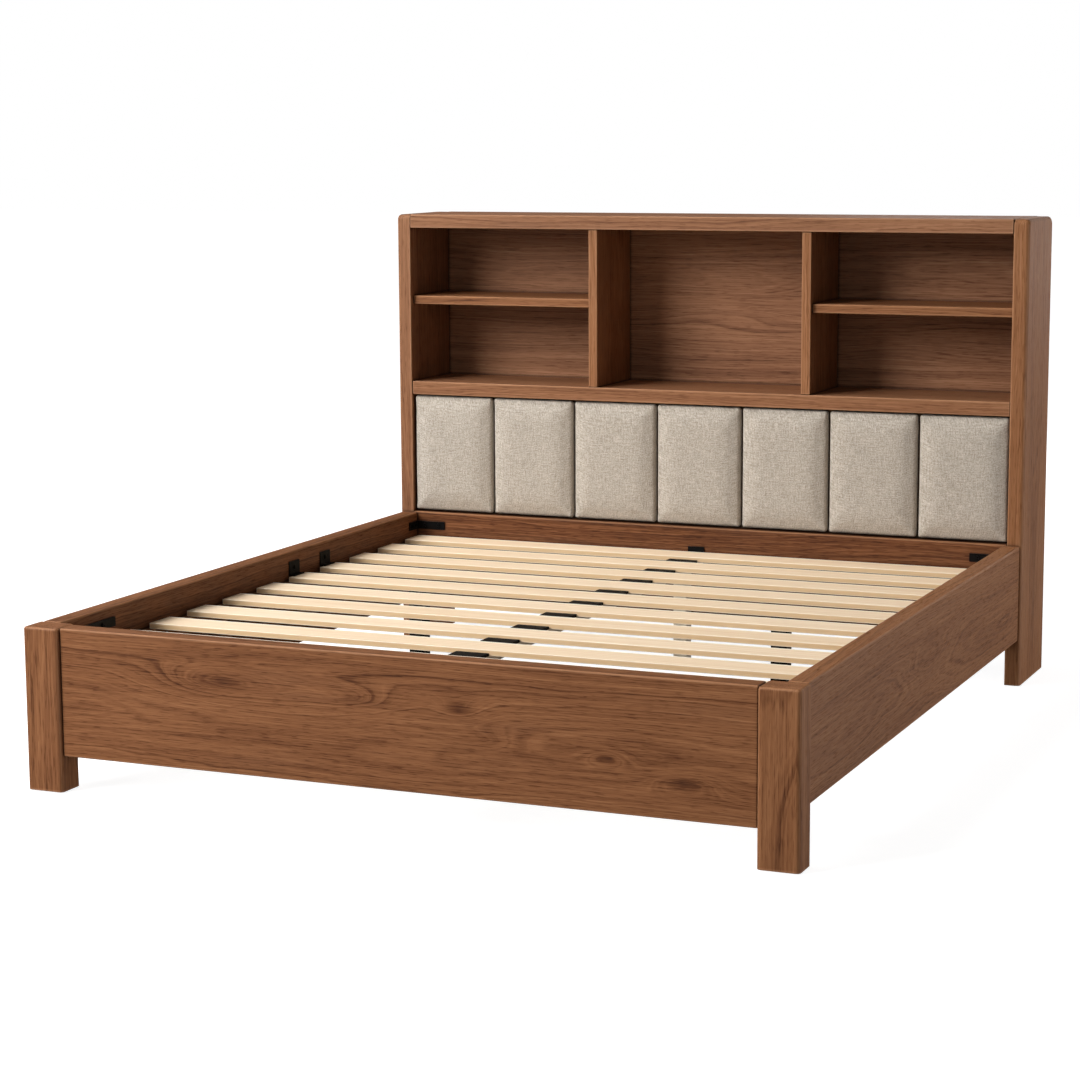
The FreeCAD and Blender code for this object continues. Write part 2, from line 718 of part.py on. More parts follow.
def slats():
    """The slats, each on two pegs that stand in the ledgers."""
    for number in range(1, SLAT_COUNT + 1):
        label = f"slat_{number:02d}"
        low = slat_low(number)
        board(label, ("-places.slat_end", "places.slat_end"), (low, f"{low} + sizes.slat_width"),
              ("places.slat_bottom", "places.slat_top"), "sizes.slat_ease")
        above = size("peg_slat_depth")
        below = size("peg_length") - above
        for name, side in SIDES:
            middle = (place("ledger_inner") + place("slat_end")) / 2 * side
            where = point(middle, slat_middle(number), place("slat_bottom"))
            peg("slat_pegs", size("peg_radius"), below, above, where, Z_AXIS, f"{name}_slat_ledger", label)


def hanger(label, wall, inward, board_name):
    """A plate on the rail or footboard with a seat under the beam's end."""
    face = f"places.{wall}"
    seat_start = f"{face} + {inward} * sizes.hanger_thickness"
    seat_end = f"{seat_start} + {inward} * sizes.hanger_seat"
    across = ("-sizes.hanger_width / 2", "sizes.hanger_width / 2")
    plate = box(label + "_plate", across, ordered(inward, face, seat_start),
                ("places.hanger_bottom", "places.hanger_top"))
    seat = box(label + "_seat", across, ordered(inward, seat_start, seat_end),
               ("places.hanger_bottom", "places.beam_bottom"))
    blanks[label] = fused(label + "_blank", [plate, seat])
    for _, side in SIDES:
        depth = place(wall) + inward * size("hanger_thickness")
        height = (place("beam_bottom") + place("slat_bottom")) / 2
        where = point(size("hanger_bolt_spacing") / 2 * side, depth, height)
        bolt(where, Y_AXIS * -inward, (label, board_name))


def centre_beam():
    """A steel tube under the slats, hung from the head rail and the footboard."""
    ys = ("places.footboard_back + sizes.beam_end_gap", "places.head_front - sizes.beam_end_gap")
    blanks["centre_beam"] = box("centre_beam_blank", ("-places.beam_side", "places.beam_side"), ys,
                                ("places.beam_bottom", "places.slat_bottom"))
    groove("centre_beam", "beam_hollow",
           ("-places.beam_side + sizes.beam_wall", "places.beam_side - sizes.beam_wall"),
           (f"{ys[0]} - sizes.cut_overrun", f"{ys[1]} + sizes.cut_overrun"),
           ("places.beam_bottom + sizes.beam_wall", "places.slat_bottom - sizes.beam_wall"))
    hanger("head_beam_hanger", "head_front", -1, "head_rail")
    hanger("foot_beam_hanger", "footboard_back", 1, "footboard")


def slat_spacers():
    """Moulded blocks on the centre beam that keep the slats apart, each with two stems in the beam."""
    spacers = []
    for number in range(1, SLAT_COUNT):
        label = f"slat_spacer_{number}"
        ys = (f"{slat_low(number)} + sizes.slat_width + sizes.spacer_slat_gap",
              f"{slat_low(number + 1)} - sizes.spacer_slat_gap")
        block = rectangle_body(label + "_block", ("-sizes.spacer_width / 2", "sizes.spacer_width / 2"), ys,
                               ("places.slat_bottom", "places.slat_bottom + sizes.spacer_height"))
        round_edges(block, label + "_ease", "sizes.spacer_ease",
                    lambda edge: flat_at(edge, "z", size("spacer_height")))
        pieces = [block]
        middle = (slat_middle(number) + slat_middle(number + 1)) / 2
        for name, side in SIDES:
            stem = doc.addObject("Part::Cylinder", f"{label}_{name}_stem")
            bind(stem, {"Radius": "sizes.spacer_stem_radius", "Height": "sizes.spacer_stem_length"})
            put(stem, f"{side} * places.beam_side / 2", f"({ys[0]} + {ys[1]}) / 2",
                "places.slat_bottom - sizes.spacer_stem_length")
            pieces.append(stem)
            drill("centre_beam", size("spacer_stem_radius") + size("dowel_clearance"),
                  point(side * place("beam_side") / 2, middle, place("slat_bottom")), -Z_AXIS,
                  size("beam_wall") + size("cut_overrun"))
        spacers.append(fused(label, pieces))
    nodes["slat_spacers"] = compound("slat_spacers", spacers)


def levelling_foot(label, x, y):
    """A round foot on a threaded stem."""
    disc = doc.addObject("Part::Cylinder", label + "_disc")
    bind(disc, {"Radius": "sizes.foot_radius", "Height": "sizes.foot_thickness"})
    boss = doc.addObject("Part::Cone", label + "_boss")
    bind(boss, {"Radius1": "sizes.foot_boss_radius", "Radius2": "sizes.stem_radius",
                "Height": "sizes.foot_boss_height"})
    stem = doc.addObject("Part::Cylinder", label + "_stem")
    bind(stem, {"Radius": "sizes.stem_radius", "Height": "sizes.stem_length"})
    on_disc = "sizes.foot_thickness"
    for item, height in ((disc, "0"), (boss, on_disc), (stem, on_disc + " + sizes.foot_boss_height")):
        put(item, x, y, height)
    nodes[label] = fused(label, [disc, boss, stem])


def support_leg(label, x_place, x_side, y_place, y_side, top_place, carried, lengthwise):
    """A steel leg: plate under what it carries, tube, nut block and levelling foot."""
    x, y = f"{x_side} * places.{x_place}", f"{y_side} * places.{y_place}"
    top = f"places.{top_place}"
    plate_bottom = f"{top} - sizes.leg_plate_thickness"

    def footprint(long_side, short_side):
        across, deep = (short_side, long_side) if lengthwise else (long_side, short_side)
        return around(x, across), around(y, deep)

    plate = box(label + "_plate", *footprint("sizes.leg_plate_width", "sizes.leg_plate_depth"),
                (plate_bottom, top))
    tube = box(label + "_tube", *footprint("sizes.leg_width", "sizes.leg_depth"),
               ("sizes.leg_floor_gap", plate_bottom))
    blanks[label] = fused(label + "_blank", [plate, tube])
    groove(label, label + "_hollow",
           *footprint("(sizes.leg_width - 2 * sizes.leg_wall)", "(sizes.leg_depth - 2 * sizes.leg_wall)"),
           ("places.nut_top", plate_bottom))
    middle = point(x_side * place(x_place), y_side * place(y_place), 0)
    under_nut = middle + Z_AXIS * size("leg_floor_gap")
    drill(label, size("stem_radius") + size("stem_clearance"), under_nut, Z_AXIS,
          size("leg_nut_height") + size("cut_overrun"))
    under_plate = middle + Z_AXIS * (place(top_place) - size("leg_plate_thickness"))
    for _, side in SIDES:
        offset = (Y_AXIS if lengthwise else X_AXIS) * (side * size("leg_bolt_spacing") / 2)
        bolt(under_plate + offset, Z_AXIS, (label, carried))
    levelling_foot(label + "_foot", x, y)


def support_legs():
    """Two legs under the centre beam and one under each half of a middle slat."""
    for name, side in (("foot", -1), ("head", 1)):
        support_leg(f"{name}_centre_leg", "middle", 1, "centre_leg_y", side, "beam_bottom",
                    "centre_beam", True)
    for name, side in SIDES:
        support_leg(f"{name}_slat_leg", "slat_leg_x", side, "slat_leg_y", 1, "slat_bottom",
                    f"slat_{LEG_SLAT:02d}", False)


# Brackets and clips


def corner_bracket(label, name, side, end, face_board):
    """An angle plate in an inner corner, bolted to the side rail and to the board across its end."""
    inward = -1 if end == "head" else 1
    wall = "head_front" if end == "head" else "foot_post_back"
    face = f"places.{wall}"
    upright = ("places.bracket_bottom", "places.bracket_top")
    pieces = []
    for leg, width, depth in (("face", f"{end}_bracket_face", "bracket_thickness"),
                              ("rail", "bracket_thickness", f"{end}_bracket_rail")):
        xs = mirrored(side, f"places.rail_inner - sizes.{width}", "places.rail_inner")
        ys = ordered(inward, face, f"{face} + {inward} * sizes.{depth}")
        pieces.append(box(f"{label}_{leg}", xs, ys, upright))
    blanks[label] = fused(label + "_blank", pieces)
    height = (place("bracket_bottom") + place("bracket_top")) / 2
    thickness = size("bracket_thickness")
    on_rail = (place("rail_inner") - thickness) * side
    on_face = place(wall) + inward * thickness
    for share in PAIR_SHARES:
        x = on_rail - side * (size(f"{end}_bracket_face") - thickness) * share
        bolt(point(x, on_face, height), Y_AXIS * -inward, (label, face_board))
        y = on_face + inward * (size(f"{end}_bracket_rail") - thickness) * share
        bolt(point(on_rail, y, height), X_AXIS * side, (label, f"{name}_side_rail"))


def corner_brackets():
    for name, side in SIDES:
        corner_bracket(f"head_{name}_corner_bracket", name, side, "head", "head_rail")
        corner_bracket(f"foot_{name}_corner_bracket", name, side, "foot", f"{name}_foot_post")


def slat_clips():
    """Angle clips on the side rails whose lips lie over the ends of the middle slats."""
    clips = []
    for name, side in SIDES:
        for number in CLIP_SLATS:
            label = f"{name}_clip_{number}"
            ys = around(f"({slat_low(number)} + sizes.slat_width / 2)", "sizes.clip_width")
            legs = []
            for leg, width, height in (("plate", "clip_thickness", "clip_rise"),
                                       ("lip", "clip_lip", "clip_thickness")):
                xs = mirrored(side, f"places.rail_inner - sizes.{width}", "places.rail_inner")
                zs = ("places.clip_bottom", f"places.clip_bottom + sizes.{height}")
                legs.append(box(f"{label}_{leg}", xs, ys, zs))
            clips.append(fused(label, legs))
            face = (place("rail_inner") - size("clip_thickness")) * side
            middle = place("clip_bottom") + (size("clip_rise") + size("clip_thickness")) / 2
            where = point(face, slat_middle(number), middle)
            bolt(where, X_AXIS * side, ("slat_clips", f"{name}_side_rail"))
    blanks["slat_clips"] = compound("slat_clips_blank", clips)


def cut_blanks():
    """Cuts the grooves, then the holes, out of the pieces that have them."""
    for label, blank in blanks.items():
        piece = blank
        for number, block in enumerate(grooves.get(label, []), start=1):
            piece = cut(f"{label}_grooved_{number}", piece, block)
        if label in holes:
            drilled = doc.addObject("Part::Feature", label + "_holes")
            drilled.Shape = Part.makeCompound(holes[label])
            piece = cut(f"{label}_drilled", piece, drilled)
        piece.Label = label
        nodes[label] = piece


def fastener_groups():
    """One node for each kind of fastener, holding all of that kind."""
    for label, solids in groups.items():
        group = doc.addObject("Part::Feature", label)
        group.Shape = Part.makeCompound(solids)
        nodes[label] = group


def check():
    """Stops if any object failed or any node has no valid solid."""
    for item in doc.Objects:
        if "Invalid" in item.State or "Error" in item.State:
            raise RuntimeError(f"{item.Label} failed: {item.State}")
    for label, node in nodes.items():
        if node.Shape.isNull() or not node.Shape.isValid() or not node.Shape.Solids:
            raise RuntimeError(f"{label} has no valid solid")


for side_name, side_sign in SIDES:
    head_post(f"{side_name}_head_post", side_sign)
    foot_post(f"{side_name}_foot_post", side_sign)
headboard_boards()
headboard_joints()
headboard_pads()
footboard()
side_rails()
slats()
centre_beam()
slat_spacers()
support_legs()
corner_brackets()
slat_clips()
floor_glides()
fastener_groups()
cut_blanks()
doc.recompute()
check()

os.makedirs("parts", exist_ok=True)
for label, node in sorted(nodes.items()):
    node.Shape.exportStep(f"parts/{label}.step")
print(len(nodes), "nodes,", sum(len(node.Shape.Solids) for node in nodes.values()), "solids")
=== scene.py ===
import json
import math
import random

import bpy
import numpy as np
from mathutils import Matrix, Vector


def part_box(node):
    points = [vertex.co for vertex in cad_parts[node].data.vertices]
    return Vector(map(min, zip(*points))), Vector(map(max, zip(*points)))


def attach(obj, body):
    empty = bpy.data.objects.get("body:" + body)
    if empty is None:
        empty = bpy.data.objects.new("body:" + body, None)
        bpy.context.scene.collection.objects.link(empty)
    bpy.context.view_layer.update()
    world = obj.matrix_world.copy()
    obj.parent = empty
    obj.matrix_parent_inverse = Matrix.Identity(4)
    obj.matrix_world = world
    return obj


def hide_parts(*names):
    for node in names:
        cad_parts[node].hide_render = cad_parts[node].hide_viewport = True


# The looks of a wooden bed, in the frame's metres: walnut boards, pale slats, linen pads and coated steel.

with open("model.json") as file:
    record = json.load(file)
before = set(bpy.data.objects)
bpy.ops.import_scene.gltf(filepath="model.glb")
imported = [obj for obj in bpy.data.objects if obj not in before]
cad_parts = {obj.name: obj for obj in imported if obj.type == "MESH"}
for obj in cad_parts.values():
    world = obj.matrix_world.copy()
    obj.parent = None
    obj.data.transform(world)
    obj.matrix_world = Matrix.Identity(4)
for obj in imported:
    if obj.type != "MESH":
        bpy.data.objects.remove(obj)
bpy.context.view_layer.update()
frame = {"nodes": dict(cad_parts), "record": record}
nodes = frame["nodes"]

ROOT_BODY = "bed_frame"

# Camera at the photograph's viewing angle: place, turn about Z, tilt, roll and lens.
CAMERA_PLACE = (2.638, -6.426, 1.596)
CAMERA_AZIMUTH = math.radians(23.296)
CAMERA_PITCH = math.radians(-8.927)
CAMERA_ROLL = math.radians(-0.331)
IMAGE_SIDE = 1080
FOCAL_PIXELS = 2610.7
SENSOR_WIDTH = 36.0

# Soft studio light: name, place, what it faces, width, height and power in watts.
# The light behind the bed serves the views of its back.
LIGHTS = (
    ("key", (-4.6, -5.4, 4.4), (0.0, 0.2, 0.6), 4.0, 4.0, 730),
    ("front_fill", (1.5, -7.5, 3.0), (0.0, 0.0, 0.6), 5.0, 5.0, 50),
    ("right_fill", (6.5, 2.8, 0.3), (0.98, 0.3, 0.4), 3.0, 0.5, 188),
    ("top_fill", (-3.4, -0.2, 5.2), (0.0, 0.0, 0.4), 3.0, 3.0, 180),
    ("back_fill", (0.5, 7.0, 1.6), (0.0, 1.19, 0.7), 4.0, 2.0, 90),
)
WORLD_STRENGTH = 0.145
WHITE = (1.0, 1.0, 1.0, 1.0)
BLACK = (0.0, 0.0, 0.0, 1.0)
# The stage: half its breadth, the floor's glow by the bed and the reach over which it grows to white, the
# floor's finish, the drop to the unseen plane that throws light back up, and the surround's bottom.
STAGE_RADIUS = 40.0
FLOOR_GLOW = 0.90
FLOOR_GLOW_REACH = (1.2, 6.0)
FLOOR_ALBEDO = 0.40
FLOOR_ROUGHNESS = 0.9
FLOOR_STEP = 0.001
SURROUND_BOTTOM = -0.5
VIEW_DEPTH = STAGE_RADIUS * 4

# Padded band: voxel of the remesh, how far the blank starts inside its solid, cloth settings, how far a point
# may move, rounds of smoothing, and depth of the smoothed front and of the held back.
PAD_VOXEL = 0.0045
PAD_START_INSETS = (0.0004, 0.004, 0.0004)
PAD_PRESSURES = (4.0, 3.7, 4.2, 3.9, 4.1, 3.8, 4.0)
PAD_FRAMES = 20
PAD_CAP = 0.007
PAD_SMOOTH_ROUNDS = 8
PAD_RELIEF_ROUNDS = 60
PAD_RELIEF_DEPTH = 0.016
PAD_PIN_DEPTH = 0.006


def srgb(red, green, blue):
    """A display colour from 0 to 255 as linear RGBA."""
    values = []
    for value in (red, green, blue):
        share = value / 255
        values.append(share / 12.92 if share <= 0.04045 else ((share + 0.055) / 1.055) ** 2.4)
    return (*values, 1.0)


class Graph:
    """A node tree built with short calls. An input is a socket, a number, a vector or a colour."""

    def __init__(self, tree):
        self.tree = tree

    def feed(self, socket, value):
        if isinstance(value, bpy.types.NodeSocket):
            self.tree.links.new(value, socket)
        else:
            socket.default_value = value

    def add(self, kind, inputs=(), **settings):
        node = self.tree.nodes.new(kind)
        for key, value in settings.items():
            setattr(node, key, value)
        for key, value in dict(inputs).items():
            self.feed(node.inputs[key], value)
        return node

    def math(self, operation, first, second=0.0, clamp=False):
        node = self.add("ShaderNodeMath", {0: first, 1: second}, operation=operation, use_clamp=clamp)
        return node.outputs[0]

    def vector(self, operation, first, second=(0.0, 0.0, 0.0)):
        node = self.add("ShaderNodeVectorMath", {0: first, 1: second}, operation=operation)
        return node.outputs["Value" if operation == "LENGTH" else "Vector"]

    def times(self, value, factor):
        return self.math("MULTIPLY", value, factor)

    def total(self, *values, clamp=False):
        """The sum of values, held between 0 and 1 at the end where that is asked."""
        result = values[0]
        for value in values[1:-1]:
            result = self.math("ADD", result, value)
        return self.math("ADD", result, values[-1], clamp)

    def split(self, vector):
        return self.add("ShaderNodeSeparateXYZ", {0: vector}).outputs

    def join(self, x, y, z):
        return self.add("ShaderNodeCombineXYZ", {0: x, 1: y, 2: z}).outputs[0]

    def noise(self, vector, stretch, detail=2.0, roughness=0.5):
        """Smooth noise from 0 to 1, with that many features a metre, alike or for each axis."""
        rates = stretch if isinstance(stretch, tuple) else (stretch,) * 3
        where = self.vector("MULTIPLY", vector, rates)
        node = self.add("ShaderNodeTexNoise", {"Vector": where, "Scale": 1.0, "Detail": detail,
                                               "Roughness": roughness})
        return node.outputs[0]

    def line_noise(self, value, per_unit, detail=1.0):
        """Noise along a line, with that many features a unit."""
        inputs = {"W": self.times(value, per_unit), "Scale": 1.0, "Detail": detail}
        node = self.add("ShaderNodeTexNoise", inputs, noise_dimensions="1D")
        return node.outputs[0]

    def smooth(self, value, low, high, to_low=0.0, to_high=1.0):
        """A smooth step of a value between two limits."""
        node = self.add("ShaderNodeMapRange", {"Value": value, "From Min": low, "From Max": high,
                                               "To Min": to_low, "To Max": to_high},
                        interpolation_type="SMOOTHSTEP")
        return node.outputs[0]

    def ramp(self, value, stops):
        node = self.add("ShaderNodeValToRGB", {0: value})
        elements = node.color_ramp.elements
        while len(elements) < len(stops):
            elements.new(1.0)
        for element, (position, colour) in zip(elements, stops):
            element.position = position
            element.color = colour
        return node.outputs[0]

    def mix(self, factor, first, second):
        node = self.add("ShaderNodeMix", data_type="RGBA")
        for name, value in (("Factor_Float", factor), ("A_Color", first), ("B_Color", second)):
            socket = next(item for item in node.inputs if item.identifier == name)
            self.feed(socket, value)
        return next(item for item in node.outputs if item.identifier == "Result_Color")

    def weighted(self, *terms):
        """The sum of values times weights, each value counted from its middle, one half."""
        total = None
        for value, weight in terms:
            term = self.times(self.math("SUBTRACT", value, 0.5), weight)
            total = term if total is None else self.math("ADD", total, term)
        return total


# Samples of the ambient occlusion that paints shade into seams and inner corners.
PAINTED_SHADE_SAMPLES = 6


class Finish(Graph):
    """A material and its node tree."""

    def __init__(self, name):
        self.material = bpy.data.materials.new(name)
        self.material.use_nodes = True
        super().__init__(self.material.node_tree)
        self.shader = self.tree.nodes["Principled BSDF"]

    def place(self):
        return self.add("ShaderNodeTexCoord").outputs["Object"]

    def set(self, **inputs):
        for name, value in inputs.items():
            self.feed(self.shader.inputs[name.replace("_", " ")], value)

    def painted_shade(self, distance, closed, clear, depth):
        """Painted shade in seams and inner corners, from ambient occlusion: depth where closed in, falling to
        0 on clear surfaces.
        """
        node = self.add("ShaderNodeAmbientOcclusion", {"Distance": distance}, samples=PAINTED_SHADE_SAMPLES)
        return self.smooth(node.outputs["AO"], closed, clear, depth, 0.0)

    def bump(self, height, strength, distance):
        node = self.add("ShaderNodeBump", {"Height": height, "Strength": strength, "Distance": distance})
        self.feed(self.shader.inputs["Normal"], node.outputs[0])


class Group(Graph):
    """A node group with named inputs and outputs."""

    def __init__(self, name, inputs, outputs):
        tree = bpy.data.node_groups.new(name, "ShaderNodeTree")
        super().__init__(tree)
        for item, kind in inputs.items():
            tree.interface.new_socket(item, in_out="INPUT", socket_type="NodeSocket" + kind)
        for item, kind in outputs.items():
            tree.interface.new_socket(item, in_out="OUTPUT", socket_type="NodeSocket" + kind)
        self.inputs = tree.nodes.new("NodeGroupInput").outputs
        self.result = tree.nodes.new("NodeGroupOutput").inputs

    def give(self, **outputs):
        for name, value in outputs.items():
            self.feed(self.result[name], value)


def edge_group():
    """Distance of a point on a board's surface from the nearest arris of the board's box."""
    group = Group("edge_distance", {"Place": "Vector", "Middle": "Vector", "Half": "Vector"},
                  {"Distance": "Float"})
    from_middle = group.vector("SUBTRACT", group.inputs["Place"], group.inputs["Middle"])
    inside = group.vector("SUBTRACT", group.inputs["Half"], group.vector("ABSOLUTE", from_middle))
    x, y, z = group.split(inside)
    low = group.math("MINIMUM", x, y)
    high = group.math("MAXIMUM", x, y)
    group.give(Distance=group.math("MAXIMUM", low, group.math("MINIMUM", high, z)))
    return group.tree


# Noises of walnut: features a metre along the grain, across the face and in depth, detail and roughness.
WALNUT_NOISES = {
    "sway": ((0.9, 3.6, 3.6), 1.0, 0.5),
    "waver": ((3.2, 15.0, 15.0), 2.0, 0.5),
    "tremble": ((9.0, 85.0, 85.0), 3.0, 0.5),
    "drift": ((1.4, 9.0, 9.0), 2.0, 0.5),
    "streak": ((1.8, 120.0, 120.0), 3.0, 0.6),
    "fibre": ((6.0, 400.0, 400.0), 3.0, 0.7),
    "pore": ((26.0, 360.0, 360.0), 1.0, 0.5),
    "hue": ((2.0, 14.0, 14.0), 2.0, 0.5),
}
# Growth rings: how many a metre, how far the noises draw them out of true in metres, where in a ring the late
# wood begins, is darkest and ends, and how often in a ring its tone, its fine lines and its depth change.
RINGS_PER_METRE = 95.0
RING_WARP = {"sway": 0.085, "waver": 0.016, "tremble": 0.0045}
LATE_WOOD = (0.35, 0.9, 1.0)
RING_TONE_RATE = 0.45
RING_LINE_RATE = 3.2
RING_DEPTH_RATE = 0.8
RING_DEPTH_SPAN = (0.35, 0.7)
PORE_SPAN = (0.54, 0.66)
# Weights in the tone on the walnut ramp: of what swings about its middle, and of what darkens or lightens.
TONE_SWINGS = {"ring_tone": 0.46, "ring_line": 0.42, "drift": 0.32, "streak": 0.40, "fibre": 0.90}
LATE_WOOD_TONE = -0.24
PORE_TONE = -0.17
KNOT_TONE = -0.42
PAINTED_HIGHLIGHT_TONE = 0.10
WALNUT_STOPS = (
    (0.00, srgb(62, 34, 18)),
    (0.25, srgb(97, 58, 33)),
    (0.50, srgb(127, 82, 51)),
    (0.75, srgb(145, 98, 64)),
    (1.00, srgb(166, 119, 84)),
)
# Greyer stretches, and a painted highlight along the arrises: where they lie and how much of their colour
# they take.
HUE_SPAN = (0.5, 0.85)
HUE_SHARE = 0.30
HUE_COLOUR = srgb(112, 76, 54)
PAINTED_HIGHLIGHT_REACH = (0.0015, 0.0065)
PAINTED_HIGHLIGHT_SHARE = 0.30
PAINTED_HIGHLIGHT_COLOUR = srgb(186, 138, 102)
# Roughness and relief.
WALNUT_ROUGHNESS = 0.54
ROUGHNESS_SWINGS = {"fibre": 0.10, "drift": 0.08}
PORE_ROUGHNESS = 0.12
HEIGHT_SWINGS = {"fibre": 0.6, "streak": 0.4}
PORE_HEIGHT = -0.8
LATE_WOOD_HEIGHT = 0.15
WALNUT_SPECULAR = 0.13
WALNUT_BUMP = (0.22, 0.0006)


def walnut_group():
    """Figure of a sawn walnut board from coordinates along the grain, across the face and in depth, with a
    painted highlight along its arrises.
    """
    group = Group("walnut_figure",
                  {"Grain": "Vector", "Pith": "Vector", "Swirl": "Float", "Knot": "Float", "Edge": "Float",
                   "Tone": "Float", "Grey": "Float"},
                  {"Color": "Color", "Roughness": "Float", "Height": "Float"})
    grain = group.inputs["Grain"]
    parts = {name: group.noise(grain, *settings) for name, settings in WALNUT_NOISES.items()}

    def swing(weights):
        return group.weighted(*[(parts[name], weight) for name, weight in weights.items()])

    # Growth rings about the pith, drawn out of true along the trunk.
    from_pith = group.vector("SUBTRACT", grain, group.inputs["Pith"])
    from_pith = group.vector("LENGTH", group.vector("MULTIPLY", from_pith, (0.0, 1.0, 1.0)))
    radius = group.math("ADD", from_pith, group.math("ADD", swing(RING_WARP), group.inputs["Swirl"]))
    rings = group.times(radius, RINGS_PER_METRE)
    saw = group.math("FRACT", rings)
    start, darkest, end = LATE_WOOD
    late_wood = group.times(group.smooth(saw, start, darkest), group.smooth(saw, darkest, end, 1.0, 0.0))
    parts["ring_tone"] = group.line_noise(rings, RING_TONE_RATE, detail=2.0)
    parts["ring_line"] = group.line_noise(rings, RING_LINE_RATE, detail=2.0)
    lines = group.times(late_wood, group.smooth(group.line_noise(rings, RING_DEPTH_RATE), *RING_DEPTH_SPAN))
    # Colour from the rings, fibres, pores and knots, with a painted highlight along the arrises.
    pore = group.smooth(parts["pore"], *PORE_SPAN)
    painted_highlight = group.smooth(group.inputs["Edge"], *PAINTED_HIGHLIGHT_REACH, 1.0, 0.0)
    tone = group.total(swing(TONE_SWINGS), group.inputs["Tone"], group.times(lines, LATE_WOOD_TONE),
                       group.times(pore, PORE_TONE), group.times(group.inputs["Knot"], KNOT_TONE),
                       group.times(painted_highlight, PAINTED_HIGHLIGHT_TONE), clamp=True)
    colour = group.ramp(tone, WALNUT_STOPS)
    colour = group.mix(group.smooth(parts["hue"], *HUE_SPAN, 0.0, HUE_SHARE), colour, HUE_COLOUR)
    colour = group.mix(group.times(painted_highlight, PAINTED_HIGHLIGHT_SHARE), colour, PAINTED_HIGHLIGHT_COLOUR)
    fullness = group.math("SUBTRACT", 1.0, group.inputs["Grey"])
    colour = group.add("ShaderNodeHueSaturation", {"Saturation": fullness, "Color": colour}).outputs[0]
    rough = group.total(swing(ROUGHNESS_SWINGS), WALNUT_ROUGHNESS, group.times(pore, PORE_ROUGHNESS))
    height = group.total(swing(HEIGHT_SWINGS), group.times(pore, PORE_HEIGHT),
                         group.times(lines, LATE_WOOD_HEIGHT))
    group.give(Color=colour, Roughness=rough, Height=height)
    return group.tree


EDGE_DISTANCE = edge_group()
WALNUT_FIGURE = walnut_group()

# Painted shade in seams and inner corners: reach, openness of a closed place and of a clear one, and depth.
WALNUT_PAINTED_SHADE = (0.010, 0.40, 0.98, 0.8)
LINEN_PAINTED_SHADE = (0.010, 0.15, 0.75, 0.5)
BOARD_PAINTED_SHADE = (0.060, 0.25, 0.85, 0.9)

# Swirls and knots: along the grain, across the face, length, breadth, lift of the rings, darkness.
SWIRLS = {
    "footboard": (
        (-0.467, 0.309, 0.170, 0.040, 0.038, 0.30),
        (-0.260, 0.300, 0.260, 0.055, 0.035, 0.00),
        (-0.098, 0.302, 0.110, 0.026, 0.020, 0.40),
        (0.177, 0.299, 0.070, 0.030, 0.020, 0.75),
        (0.213, 0.235, 0.110, 0.024, 0.016, 0.35),
        (0.536, 0.216, 0.055, 0.020, 0.022, 0.80),
        (0.722, 0.176, 0.085, 0.026, 0.026, 0.85),
    ),
    "right_side_rail": ((-0.072, 0.273, 0.220, 0.040, 0.030, 0.10),),
    "left_side_rail": ((0.240, 0.250, 0.240, 0.040, 0.028, 0.00),),
    "bookcase_back_panel": (
        (0.020, 1.030, 0.260, 0.035, 0.026, 0.00),
        (0.544, 0.939, 0.220, 0.035, 0.026, 0.00),
    ),
    "lower_back_panel": (
        (-0.310, 0.480, 0.280, 0.050, 0.035, 0.00),
        (0.420, 0.300, 0.100, 0.040, 0.040, 0.45),
    ),
    "headboard_top_panel": ((0.250, 1.050, 0.280, 0.040, 0.030, 0.00),),
}
# Tone of a board on the walnut ramp, for boards that are paler or darker than the rest: partly each board's
# own tone, partly painted light and shade, as on the head rail darkened as if shaded and the base shelf and
# head posts paler as if lit.
USUAL_TONE = 0.58
TONES_AND_PAINTED_LIGHT = {
    "footboard": 0.50, "head_rail": 0.28, "bookcase_base_shelf": 0.69, "headboard_top_panel": 0.70,
    "left_head_post": 0.62, "right_head_post": 0.68, "left_foot_post": 0.54, "right_foot_post": 0.65,
    "left_side_rail": 0.45, "right_side_rail": 0.68, "left_divider": 0.70, "right_divider": 0.70,
    "bookcase_back_panel": 0.62,
}
# How much of the colour's fullness a greyer board has lost.
GREYS = {
    "bookcase_back_panel": 0.07, "headboard_top_panel": 0.06, "left_head_post": 0.05,
    "bookcase_base_shelf": 0.04,
}
# Boards whose ends stand against another board, with a line of painted shade at the seam; its reach and
# depth, and the colour of all painted shade on walnut.
SEAMED = (
    "headboard_top_panel", "bookcase_base_shelf",
    "left_shelf", "right_shelf", "left_divider", "right_divider",
)
SEAM_REACH = (0.0008, 0.0036)
SEAM_SHADE_DEPTH = 0.9
PAINTED_SHADE_COLOUR = srgb(34, 18, 9)
# How much of a swirl's reach its dark heart takes.
HEART_REACH = 0.8
# Boards wider than this show flat-sawn figure, and narrower ones straight grain: how deep the pith lies, and
# how far off the board's middle as a share of its half width.
FLAT_SAWN_WIDTH = 0.2
FLAT_SAWN_PITH = (0.09, 0.15)
STRAIGHT_PITH = (0.30, 0.45)
PITH_OFFSET = 0.5
# How far a board's noise may be moved to give it a figure of its own.
SHIFT_REACH = 9.0


def box_numbers(name):
    """Middle and half size of a node's box."""
    low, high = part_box(name)
    return (low + high) / 2, (high - low) / 2


def edge_distance(finish, place, name):
    middle, half = box_numbers(name)
    node = finish.add("ShaderNodeGroup", node_tree=EDGE_DISTANCE)
    for key, value in (("Place", place), ("Middle", middle), ("Half", half)):
        finish.feed(node.inputs[key], value)
    return node.outputs["Distance"]


def grain_axes(name):
    """Axes of a board from its longest side, along the grain, to its shortest."""
    _, half = box_numbers(name)
    return sorted(range(3), key=lambda axis: -half[axis])


def random_shift(draw):
    return Vector([draw.uniform(-SHIFT_REACH, SHIFT_REACH) for _ in range(3)])


